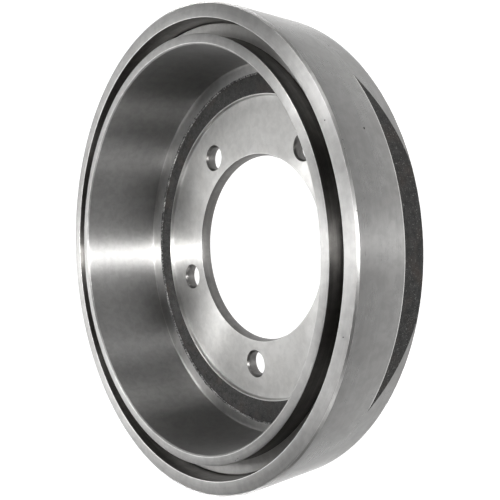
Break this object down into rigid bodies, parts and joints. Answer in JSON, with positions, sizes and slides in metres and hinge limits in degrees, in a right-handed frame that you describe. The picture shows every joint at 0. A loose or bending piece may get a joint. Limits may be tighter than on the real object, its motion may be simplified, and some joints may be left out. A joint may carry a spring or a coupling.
{
  "type": "brake drum",
  "caption": "Cast iron brake drum with a turned friction bore, a labyrinth slot at its open end, and a flat hub plate with a pilot bore and wheel stud holes.",
  "frame": {"origin": "centre of the wheel mounting face, at the bottom of the drum", "axes": "+Z along the drum axis towards the open end; -Y towards the unturned crescent on the outside, the side the picture shows"},
  "size_m": [0.381, 0.381, 0.0955],
  "materials": {
    "turned_iron": "turned, with cast surfaces left between the cuts"
  },
  "bodies": {
    "root": {"brake_drum": "turned_iron"}
  },
  "joints": []
}
